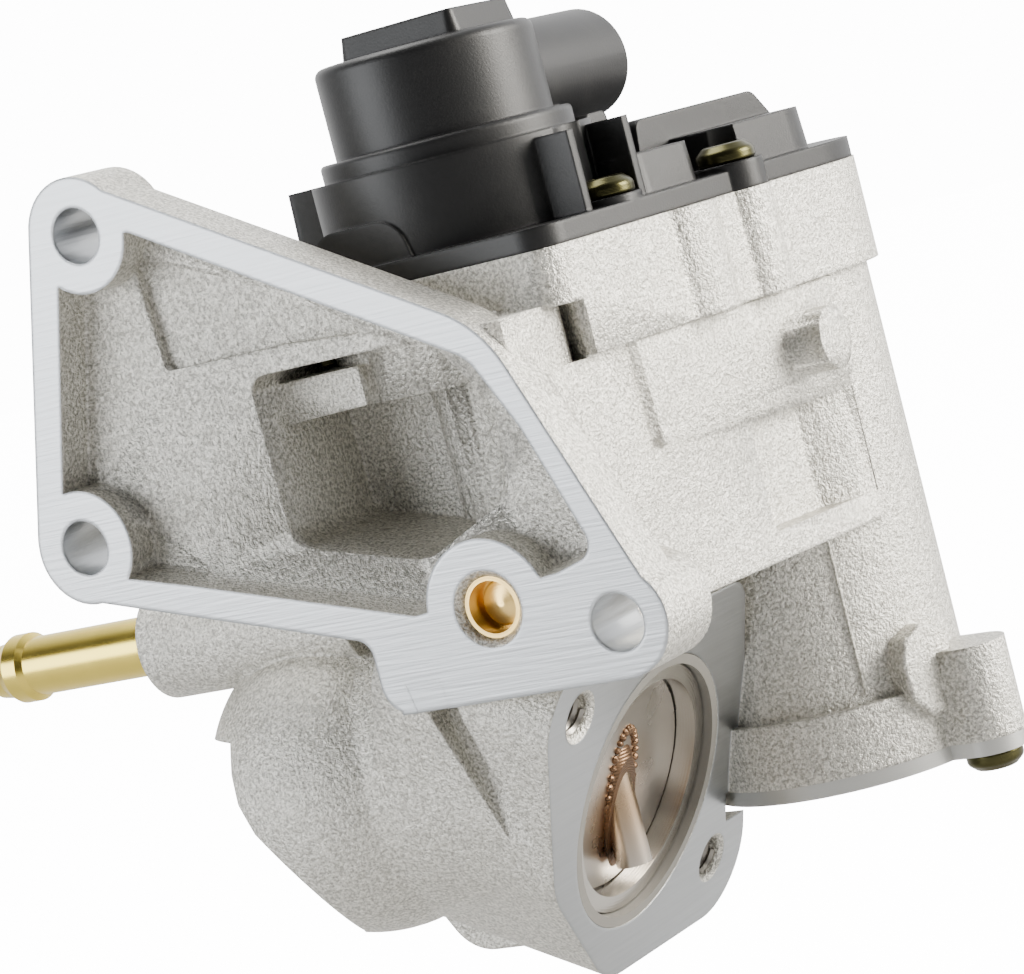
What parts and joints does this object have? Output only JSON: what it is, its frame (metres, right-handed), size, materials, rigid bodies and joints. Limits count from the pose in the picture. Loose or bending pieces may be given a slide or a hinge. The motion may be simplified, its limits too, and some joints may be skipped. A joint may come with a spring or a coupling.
{
  "type": "egr valve",
  "caption": "Cast housing with a three-hole mounting flange, a butterfly flap in a tilted gas port, and a geared motor drive under a plastic cover.",
  "frame": {"origin": "centre of the right mounting hole at the machined flange face", "axes": "+X toward the gas port side, +Y away from the mounting face into the body, +Z along the flap shaft toward the connector"},
  "size_m": [0.1562, 0.1266, 0.1592],
  "materials": {
    "housing": "sand cast surface with machined faces",
    "black_plastic": "moulded, fine texture",
    "stainless": "machined",
    "flap_steel": "with heat tint at the weld",
    "steel": "ground",
    "spring_steel": "drawn wire",
    "zinc": "olive zinc plated",
    "brass": "machined",
    "rubber": "moulded",
    "seal_ring": "moulded",
    "gear_plastic": "moulded",
    "magnet": "sintered",
    "board": "circuit board",
    "bronze": "sintered",
    "copper": "drawn",
    "carbon": "pressed carbon",
    "zinc_steel": "plated sheet steel"
  },
  "bodies": {
    "body": {"housing": "housing", "valve_sleeve": "stainless", "port_seal_ring": "seal_ring", "shaft_bush": "bronze", "shaft_seal": "rubber", "bearing_outer": "steel", "bearing_cage": "steel", "intermediate_pin": "steel", "return_spring": "spring_steel", "motor_can": "zinc_steel", "motor_bush": "bronze", "motor_magnet_a": "magnet", "motor_magnet_b": "magnet", "motor_endbell": "black_plastic", "motor_brush_plate": "black_plastic", "motor_brush_a": "carbon", "motor_brush_b": "carbon", "motor_blade_a": "copper", "motor_blade_b": "copper", "motor_spring": "spring_steel", "motor_cover": "zinc_steel", "motor_cover_seal": "rubber", "gear_cover": "black_plastic", "cover_seal": "rubber", "sensor_board": "board", "coolant_nipple": "brass", "brass_plug": "brass", "motor_screw_1": "zinc", "motor_screw_2": "zinc", "motor_screw_3": "zinc", "cover_screw_1": "zinc", "cover_screw_2": "zinc", "cover_screw_3": "zinc", "cover_screw_4": "zinc", "cover_screw_5": "zinc", "cover_screw_6": "zinc", "connector_pin_1": "copper", "connector_pin_2": "copper", "connector_pin_3": "copper", "connector_pin_4": "copper", "connector_pin_5": "copper"},
    "flap": {"flap_shaft": "flap_steel", "flap_disc": "flap_steel", "flap_seal_ring": "steel", "flap_weld": "flap_steel", "bearing_inner": "steel", "sector_gear": "gear_plastic", "spring_guide": "gear_plastic", "magnet_cup": "black_plastic", "sensor_magnet": "magnet"},
    "intermediate": {"intermediate_gear": "gear_plastic", "intermediate_pinion": "gear_plastic"},
    "rotor": {"motor_rotor": "steel", "motor_pinion": "steel"}
  },
  "joints": [
    {"name": "flap_turn", "type": "hinge", "parent": "body", "child": "flap", "pos_m": [-0.033, 0.04, 0], "axis": [0, 0, 1], "range_deg": [0, 80], "stiffness_Nm_per_rad": 0.1, "springref_deg": -11.46, "deforming": ["return_spring"]},
    {"name": "intermediate_turn", "type": "hinge", "parent": "body", "child": "intermediate", "pos_m": [-0.02493, 0.06733, 0.05], "axis": [0, 0, 1], "range_deg": [-247.71, 2]},
    {"name": "motor_turn", "type": "hinge", "parent": "body", "child": "rotor", "pos_m": [-0.01745, 0.09265, 0], "axis": [0, 0, 1], "range_deg": [-4, 1005.76]}
  ],
  "couplings": [
    {"joint": "intermediate_turn", "follows": "flap_turn", "ratio": -3.0714},
    {"joint": "motor_turn", "follows": "flap_turn", "ratio": 12.522}
  ]
}
